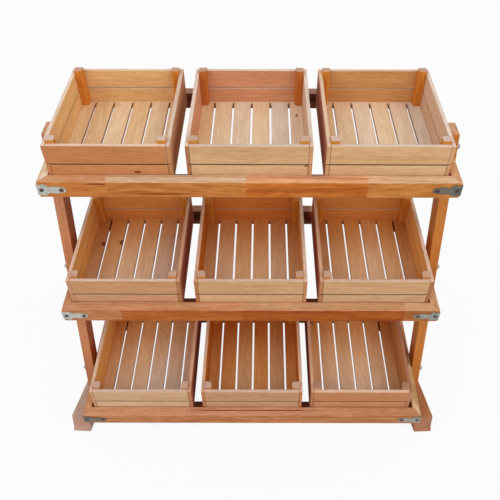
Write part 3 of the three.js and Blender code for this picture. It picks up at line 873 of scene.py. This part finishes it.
def bolt_along_x(name, inner, outer_stations, outer_parts):
    """A bolt for the right side, with its washer and nut on the inner face of the wood. Its outer end
    follows the given stations and carries the given parts."""
    washer_in = inner - BOLT_GAP - WASHER_THICKNESS
    nut_in = washer_in - NUT_THICKNESS
    end = nut_in - BOLT_END
    thread = [(end, SHANK_RADIUS * BOLT_TIP_SHARE), (end + BOLT_TIP, SHANK_RADIUS)]
    for step in range(1, THREAD_STEPS + 1):
        share = THREAD_ROOT_SHARE if step % 2 else 1
        thread.append((end + BOLT_TIP + THREAD_RISE * step, SHANK_RADIUS * share))
    bolt = turned(name, [*thread, (washer_in, SHANK_RADIUS), *outer_stations], ROUND_SIDES)
    return joined([bolt, washer(washer_in), hexagon_nut(nut_in), *outer_parts], name)


def pivot_bolt(inner, outer):
    nut_seat = outer + BOLT_GAP + WASHER_THICKNESS
    cap_rim = nut_seat + NUT_THICKNESS
    cap = [(cap_rim - CAP_LAP, CAP_RADIUS), *dome(CAP_RADIUS, CAP_HEIGHT, cap_rim)]
    outer_parts = [washer(outer + BOLT_GAP), hexagon_nut(nut_seat), turned("cap", cap, ROUND_SIDES)]
    return bolt_along_x("pivot_pattern", inner, [(nut_seat + STUD_IN_CAP, SHANK_RADIUS)], outer_parts)


def foot_bolt(inner, outer):
    seat = outer + BOLT_GAP
    rim = (seat + HEAD_RIM, HEAD_RADIUS * HEAD_RIM_SHARE)
    head = [(seat, SHANK_RADIUS), rim, *dome(HEAD_RADIUS, HEAD_HEIGHT, seat)]
    return bolt_along_x("foot_bolt_pattern", inner, head, [])


bolt_zinc = metal_material("zinc_bolt", (92, 94, 94), (178, 180, 178), scale=420, metallic=0.9, rough=0.28)
post_low, post_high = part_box("right_post")
pivot_pattern = pivot_bolt(FRAME_HALF_INSIDE, post_high.x)
foot_pattern = foot_bolt(-FOOT_SIZE.x / 2, FOOT_SIZE.x / 2)
post_x, post_y = (post_low.x + post_high.x) / 2, pivots["top"].y
BOLTS = [(f"{tier}_pivot_bolt", pivot_pattern, (0, pivots[tier].z), 0.0) for tier in TIERS]
BOLTS.append(("foot_bolt", foot_pattern, (post_x, FOOT_BOLT_HEIGHT), TOE_OUT["right"]))
for label, pattern, (x, z), turn in BOLTS:
    for side, place, way in (("left", -x, math.pi - turn), ("right", x, turn)):
        bolt = copy_at(pattern, f"{side}_{label}_zinc", (place, post_y, z), way)
        bolt.data.materials.append(bolt_zinc)
        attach(bolt, "stand")
        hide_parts(f"{side}_{label}")
bpy.data.objects.remove(pivot_pattern)
bpy.data.objects.remove(foot_pattern)


# Crate walls
# Each crate is a box of thin planed boards, two to a wall with a gap between them, nailed to a
# hardwood block in each corner. The side boards run the whole depth, so their ends show in front.

CRATE_HALF_WIDTH, CRATE_HALF_DEPTH = 0.1765, 0.2065
BOARD = 0.011
BOARD_HEIGHT, BOARD_GAP = 0.061, 0.003
BOARD_EASE = 0.001
BOARD_JOINT = 0.0009
CORNER_BLOCK, CORNER_ROUND = 0.025, 0.009
BLOCK_BOTTOM, BLOCK_TOP = 0.0123, 0.136
NAIL_HEAD, NAIL_SIDES = ((0.0, 0.0011), (0.0003, 0.0012), (0.0004, 0.0009)), 8
NAILS_UP = (0.015, 0.046)
NAIL_FROM_CORNER = 0.0125
CRATE_PLACE = (0.018, 0.0113)
DRY_SHINE = 0.0
CRATE_SEED = 60

inside_x, inside_y = CRATE_HALF_WIDTH - BOARD, CRATE_HALF_DEPTH - BOARD
nail = turned("nail_pattern", NAIL_HEAD, NAIL_SIDES)
nail_steel = metal_material(
    "nail_steel", (150, 104, 68), (180, 130, 90), scale=600, metallic=0.2, rough=0.5
)
nail.data.materials.append(nail_steel)
nail.data.attributes.new("grain", "FLOAT_VECTOR", "CORNER")
nail.data.attributes.new("kind", "INT", "FACE")
nail.data.attributes.new("part", "INT", "FACE")


def wall_board(name, corner, opposite, along, number):
    board = sawn_block(name, corner, opposite)
    ease_edges(BOARD_EASE)
    lay_grain(board, along, number)
    return board


crate_wood = wood_material("crate_wood", contrast=0.7, figure=0.45, streaks=0.08, shine=DRY_SHINE)

# The boards are numbered front, back, left and right, each the lower one first, and then the blocks
boards, heads = [], []
for level in range(2):
    bottom = level * (BOARD_HEIGHT + BOARD_GAP)
    top = bottom + BOARD_HEIGHT
    for wall, end in enumerate((-1, 1)):
        outer, inner = end * CRATE_HALF_DEPTH, end * inside_y
        reach = inside_x - BOARD_JOINT
        corner, opposite = (-reach, outer, bottom), (reach, inner, top)
        boards.append(wall_board("end_board", corner, opposite, X, 2 * wall + level))
        across = inside_x - NAIL_FROM_CORNER
        places = [(x, outer, bottom + z) for x in (-across, across) for z in NAILS_UP]
        heads += [copy_at(nail, "nail", place, end * math.pi / 2) for place in places]
    for wall, end in enumerate((-1, 1)):
        outer, inner = end * CRATE_HALF_WIDTH, end * inside_x
        corner, opposite = (outer, -CRATE_HALF_DEPTH, bottom), (inner, CRATE_HALF_DEPTH, top)
        boards.append(wall_board("side_board", corner, opposite, Y, 4 + 2 * wall + level))
        across = inside_y - NAIL_FROM_CORNER
        places = [(outer, y, bottom + z) for y in (-across, across) for z in NAILS_UP]
        heads += [copy_at(nail, "nail", place, 0 if end > 0 else math.pi) for place in places]
for number, (x_way, y_way) in enumerate(((-1, -1), (1, -1), (1, 1), (-1, 1))):
    outer = Vector((x_way * inside_x, y_way * inside_y))
    inner = Vector((x_way * (inside_x - CORNER_BLOCK), y_way * (inside_y - CORNER_BLOCK)))
    block = sawn_block("corner_block", (*outer, BLOCK_BOTTOM), (*inner, BLOCK_TOP))
    pick(block, "EDGE", lambda at, way: abs(way.z) > SQUARE and (at.xy - inner).length < NEAR)
    bevel(CORNER_ROUND, segments=6)
    ease_edges(BOARD_EASE)
    lay_grain(block, Z, 8 + number)
    boards.append(block)
for board in boards:
    board.data.materials.append(crate_wood)
walls_pattern = joined([*boards, *heads], "walls_pattern")
bpy.data.objects.remove(nail)

# The tones of the sides, tops and ends of the walls' boards
WALL_TONES = {
    "red_tan": ((193, 131, 83), (228, 202, 178), (190, 136, 101)),
    "straw": ((210, 169, 122), (216, 194, 178), (194, 144, 104)),
    "wheat": ((204, 160, 114), (216, 192, 174), (190, 138, 98)),
    "tan": ((195, 144, 102), (218, 194, 176), (184, 130, 92)),
    "pale_honey": ((229, 186, 131), (230, 210, 192), (197, 130, 88)),
    "honey": ((212, 150, 92), (220, 196, 176), (196, 138, 94)),
    "dusty_honey": ((202, 154, 118), (220, 196, 176), (196, 138, 94)),
    "rose": ((213, 154, 117), (228, 206, 190), (176, 118, 82)),
    "pale_pink": ((215, 180, 152), (224, 204, 188), (208, 160, 114)),
    "orange_tan": ((206, 152, 98), (220, 194, 174), (186, 122, 78)),
    "bright_orange": ((226, 150, 82), (218, 186, 162), (190, 122, 74)),
    "coral": ((222, 134, 67), (218, 184, 158), (190, 118, 68)),
    "ember": ((194, 108, 40), (216, 180, 154), (190, 128, 84)),
    "plum": ((182, 116, 92), (207, 167, 137), (180, 126, 88)),
    "russet": ((193, 131, 83), (176, 126, 100), (190, 136, 101)),
    "edged_plum": ((188, 128, 108), (226, 194, 168), (206, 164, 118)),
    "maple": ((230, 166, 96), (224, 198, 176), (200, 154, 122)),
    "dark_ended_maple": ((230, 166, 96), (224, 198, 176), (172, 118, 80)),
}
AMBER_BLOCK = {"side": (208, 132, 56), "end": (222, 200, 184)}
DEEP_BLOCK = {"side": (194, 114, 56), "end": (214, 184, 162)}
BROWN_BLOCK = {"side": (186, 112, 60), "end": (186, 154, 136)}
BACK_BLOCK_END = (192, 152, 128)

# The front, back, left and right walls of each crate, and its corner blocks
CRATE_TONES = {
    "top_left": ("red_tan pale_honey pale_honey dusty_honey", AMBER_BLOCK),
    "top_middle": ("straw rose rose pale_pink", DEEP_BLOCK),
    "top_right": ("straw orange_tan edged_plum pale_pink", AMBER_BLOCK),
    "middle_left": ("tan bright_orange maple plum", AMBER_BLOCK),
    "middle_middle": ("wheat coral ember honey", AMBER_BLOCK),
    "middle_right": ("wheat bright_orange plum dark_ended_maple", AMBER_BLOCK),
    "bottom_left": ("straw honey maple plum", AMBER_BLOCK),
    "bottom_middle": ("tan ember ember ember", AMBER_BLOCK),
    "bottom_right": ("red_tan honey plum russet", BROWN_BLOCK),
}
CRATE_KNOTS = {
    "top_left": [(0, (0.077, -0.0055, 0.0048), 0.5)],
    "top_middle": [(0, (0.160, -0.0055, 0.0275), 0.3)],
}

# How much darker the upper edges of the walls and the ends of the front blocks are painted on each shelf:
# painted shade, deeper on the lower shelves, under the ones above
WALL_TOP_PAINTED_SHADES = {"top": (0.97, 0.96, 0.96), "middle": (1.0, 0.97, 0.96), "bottom": (0.98, 0.94, 0.92)}
BLOCK_TOP_PAINTED_SHADES = {
    "top": (0.92, 0.90, 0.90), "middle": (0.90, 0.81, 0.75), "bottom": (0.90, 0.82, 0.77),
}
FRONT_BLOCKS = {"top": (202, 136, 64), "middle": (194, 134, 82), "bottom": (184, 134, 96)}

# How much paler and greyer the fronts of the crates are made on each shelf, and the lower boards beyond
# that
FRONT_SHADES = {"top": (1.0, 1.0, 1.02), "middle": (1.0, 1.02, 1.07), "bottom": (1.0, 1.03, 1.14)}
LOWER_BOARD_SHADE = (1.03, 1.05, 1.08)

# How much darker the upper edges of the lower boards are painted inside the gaps, as painted shade
FRONT_GAP_SHADE, SIDE_GAP_SHADE = (0.55,) * 3, (0.8,) * 3


def shaded(tone, shades):
    return tuple(c * s for c, s in zip(tone, shades))


def in_gap(board, shades):
    """The tones of a lower board, whose upper edge lies inside the gap and is painted dark as the shade
    there.
    """
    return {**board, "top": shaded(board["side"], shades)}


crates = [(tier, place) for tier in TIERS for place in ("left", "middle", "right")]
for number, (tier, place) in enumerate(crates):
    crate = f"{tier}_{place}"
    walls = copy_of(walls_pattern, f"{crate}_crate_boards")
    names, corner = CRATE_TONES[crate]
    # The upper edges take the painted shade of their shelf
    shades = WALL_TOP_PAINTED_SHADES[tier]
    front, back, left, right = (
        {**board, "top": shaded(board["top"], shades)} for board in boards_of(WALL_TONES, names)
    )
    front_corner = {"side": FRONT_BLOCKS[tier], "end": shaded(corner["end"], BLOCK_TOP_PAINTED_SHADES[tier])}
    back_corner = {**corner, "end": BACK_BLOCK_END}
    front = {**front, "side": shaded(front["side"], FRONT_SHADES[tier])}
    lower = {**in_gap(front, FRONT_GAP_SHADE), "side": shaded(front["side"], LOWER_BOARD_SHADE)}
    tones = [lower, front, back, back]
    for board in (left, right):
        tones += [in_gap(board, SIDE_GAP_SHADE), board]
    tones += [front_corner, front_corner, back_corner, back_corner]
    finish_wood(walls, tones, CRATE_SEED + number, CRATE_KNOTS.get(crate, ()))
    low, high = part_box(f"{crate}_crate_walls")
    set_on_shelf(walls, tier, ((low.x + high.x) / 2, *CRATE_PLACE))
    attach(walls, f"{crate}_crate")
    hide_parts(f"{crate}_crate_walls")
bpy.data.objects.remove(walls_pattern)


# Crate floors
# The floor of a crate is a panel of six thin staves glued edge to edge, with a slot milled along
# each joint almost from end to end, so that air reaches the goods and dirt falls through.

FLOOR_HALF_WIDTH, FLOOR_HALF_DEPTH = 0.1652, 0.1952
FLOOR_THICKNESS = 0.012
STAVES, STAVE_PITCH, SLOT_WIDTH = 6, 0.061, 0.0065
SLOT_END = 0.1862
GLUE_LINE = 0.0001
STAVE_EASE = 0.0007
FLOOR_SEED = 80

joints = [(i - STAVES / 2) * STAVE_PITCH for i in range(1, STAVES)]
edges = [-FLOOR_HALF_WIDTH, *joints, FLOOR_HALF_WIDTH]
staves = []
for number in range(STAVES):
    left, right = edges[number], edges[number + 1]
    slot_left = 0 if number == 0 else SLOT_WIDTH / 2
    slot_right = 0 if number == STAVES - 1 else SLOT_WIDTH / 2
    low = (left + slot_left, -SLOT_END, 0)
    stave = sawn_block("stave", low, (right - slot_right, SLOT_END, FLOOR_THICKNESS))
    for end in (-1, 1):
        pick(stave, "FACE", lambda at, way: way.y * end > SQUARE)
        draw_out(0, end * (FLOOR_HALF_DEPTH - SLOT_END), 0)
    for way_out, slot in ((-1, slot_left), (1, slot_right)):
        if slot:
            pick(stave, "FACE", lambda at, way: way.x * way_out > SQUARE and abs(at.y) > SLOT_END)
            draw_out(way_out * (slot - GLUE_LINE), 0, 0)
    ease_edges(STAVE_EASE, segments=1)
    lay_grain(stave, Y, number)
    staves.append(stave)
floor_wood = wood_material("crate_floor_wood", contrast=0.5, figure=0.8, streaks=0.05)
for stave in staves:
    stave.data.materials.append(floor_wood)
floor_pattern = joined(staves, "floor_pattern")

# The tones of the sides and tops of the staves
EVEN_STAVES = {
    "yellow": ((190, 140, 96), (226, 190, 146)),
    "pale": ((192, 146, 106), (228, 199, 164)),
    "pink": ((190, 146, 112), (227, 202, 175)),
    "grey": ((186, 146, 116), (222, 202, 182)),
}

# The lower floors are painted deeper in tone towards the back, as the shade under the shelf above, the
# third tone here
BACK_SHADED_STAVES = {
    "yellow": ((184, 128, 80), (221, 184, 148), (220, 150, 78)),
    "pale": ((186, 134, 90), (224, 196, 168), (222, 156, 92)),
    "grey": ((180, 136, 102), (216, 196, 182), (214, 156, 102)),
    "brown": ((172, 112, 66), (206, 166, 128), (202, 130, 64)),
    "deep": ((170, 104, 58), (217, 158, 97), (200, 112, 42)),
}
FLOOR_STAVES = {
    "top_left": "yellow yellow pale yellow pale pale",
    "top_middle": "yellow pale pink pale grey pink",
    "top_right": "yellow pale pink pale pink grey",
    "middle_left": "brown yellow pale pale grey grey",
    "middle_middle": "brown pale yellow yellow pale brown",
    "middle_right": "brown yellow yellow pale yellow brown",
    "bottom_left": "yellow pale pale grey grey grey",
    "bottom_middle": "deep deep brown deep brown deep",
    "bottom_right": "yellow pale pale pale pale brown",
}
FLOOR_KNOTS = {
    "top_middle": [(5, (0.114, 0.006, 0.002), 0.45)],
    "middle_left": [
        (0, (0.066, 0.006, 0.013), (0.5, 1.0, 1.0)),
        (1, (0.073, 0.006, 0.026), (0.6, 1.25, 1.25)),
    ],
}
for number, (tier, place) in enumerate(crates):
    crate = f"{tier}_{place}"
    panel = copy_of(floor_pattern, f"{crate}_crate_floor_panel")
    table = EVEN_STAVES if tier == "top" else BACK_SHADED_STAVES
    tones = boards_of(table, FLOOR_STAVES[crate], ("side", "top", "far"))
    finish_wood(panel, tones, FLOOR_SEED + number, FLOOR_KNOTS.get(crate, ()))
    low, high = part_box(f"{crate}_crate_walls")
    set_on_shelf(panel, tier, ((low.x + high.x) / 2, *CRATE_PLACE))
    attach(panel, f"{crate}_crate")
    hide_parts(f"{crate}_crate_floor")
bpy.data.objects.remove(floor_pattern)


# Floor, background and light
# A wide pale floor that takes the table's shadow, a white background all round, and soft studio
# light from two wide lamps, above and in front of the table, to the left and to the right.

FLOOR_SIZE, FLOOR_DROP = 120, 0.0005
FLOOR_GREY = 0.75
FLOOR_SHOWN_WHITE = 0.92
WHITE = (1, 1, 1, 1)
SKY_LIGHT = 0.665
LAMPS = (("left_lamp", 0.90, (-0.62, -0.60, 0.50)), ("right_lamp", 1.0, (0.62, -0.60, 0.50)))
LAMP_SOFTNESS, LAMP_DISTANCE = math.radians(50), 4


def background_rays(tree):
    """1 where the background itself is seen: by the camera, in a reflection or through glass."""
    path = tree.nodes.new("ShaderNodeLightPath").outputs
    seen = maths("MAXIMUM", path["Is Camera Ray"], path["Is Glossy Ray"])
    return maths("MAXIMUM", seen, path["Is Transmission Ray"])


bpy.ops.mesh.primitive_plane_add(size=FLOOR_SIZE, location=(0, 0, -FLOOR_DROP))
ground = bpy.context.object
ground.name = "studio_floor"
pale_floor, tree, shader = new_material("pale_floor")
grey = (FLOOR_GREY, FLOOR_GREY, FLOOR_GREY, 1)
feed(shader, (("Base Color", grey), ("Roughness", 1.0), ("Specular IOR Level", 0.0)))
white = add_node(tree, "ShaderNodeEmission", (("Color", WHITE), ("Strength", 1.0)))
share = maths("MULTIPLY", background_rays(tree), FLOOR_SHOWN_WHITE)
both = add_node(tree, "ShaderNodeMixShader", ((0, share), (1, shader.outputs[0]), (2, white.outputs[0])))
feed(tree.nodes["Material Output"], (("Surface", both.outputs[0]),))
ground.data.materials.append(pale_floor)

world = bpy.data.worlds.new("studio")
bpy.context.scene.world = world
world.use_nodes = True
tree = world.node_tree
tree.nodes.clear()
seen = background_rays(tree)
sky = add_node(tree, "ShaderNodeBackground", (("Color", WHITE), ("Strength", SKY_LIGHT)))
backdrop = add_node(tree, "ShaderNodeBackground", (("Color", WHITE), ("Strength", 1.0)))
both = add_node(tree, "ShaderNodeMixShader", ((0, seen), (1, sky.outputs[0]), (2, backdrop.outputs[0])))
add_node(tree, "ShaderNodeOutputWorld", (("Surface", both.outputs[0]),))

for name, strength, lamp_from in LAMPS:
    bpy.ops.object.light_add(type="SUN", location=Vector(lamp_from) * LAMP_DISTANCE)
    lamp = bpy.context.object
    lamp.name = name
    lamp.data.energy = strength
    lamp.data.angle = LAMP_SOFTNESS
    lamp.rotation_euler = Vector(lamp_from).to_track_quat("Z", "Y").to_euler()
bpy.context.scene.view_settings.view_transform = "Standard"


# Camera
# At the height of a standing person's eyes, almost square to the front of the table and looking
# down at it, with the lens shifted a little to the side.

CAMERA_PLACE = (0.04152, -1.79474, 1.67488)
CAMERA_TURN, CAMERA_DOWN, CAMERA_ROLL = (math.radians(a) for a in (0.10, 29.66, 0.18))
SENSOR, LENS, LENS_SHIFT = 36, 43.022, -0.03
SEES_TO = 200

bpy.ops.object.camera_add(location=CAMERA_PLACE)
camera = bpy.context.object
camera.name = "photo_camera"
aim = Matrix.Rotation(-CAMERA_TURN, 4, "Z") @ Matrix.Rotation(math.pi / 2 - CAMERA_DOWN, 4, "X")
camera.rotation_euler = (aim @ Matrix.Rotation(CAMERA_ROLL, 4, "Z")).to_euler()
camera.data.sensor_width = SENSOR
camera.data.lens = LENS
camera.data.shift_x = LENS_SHIFT
camera.data.clip_end = SEES_TO
bpy.context.scene.camera = camera
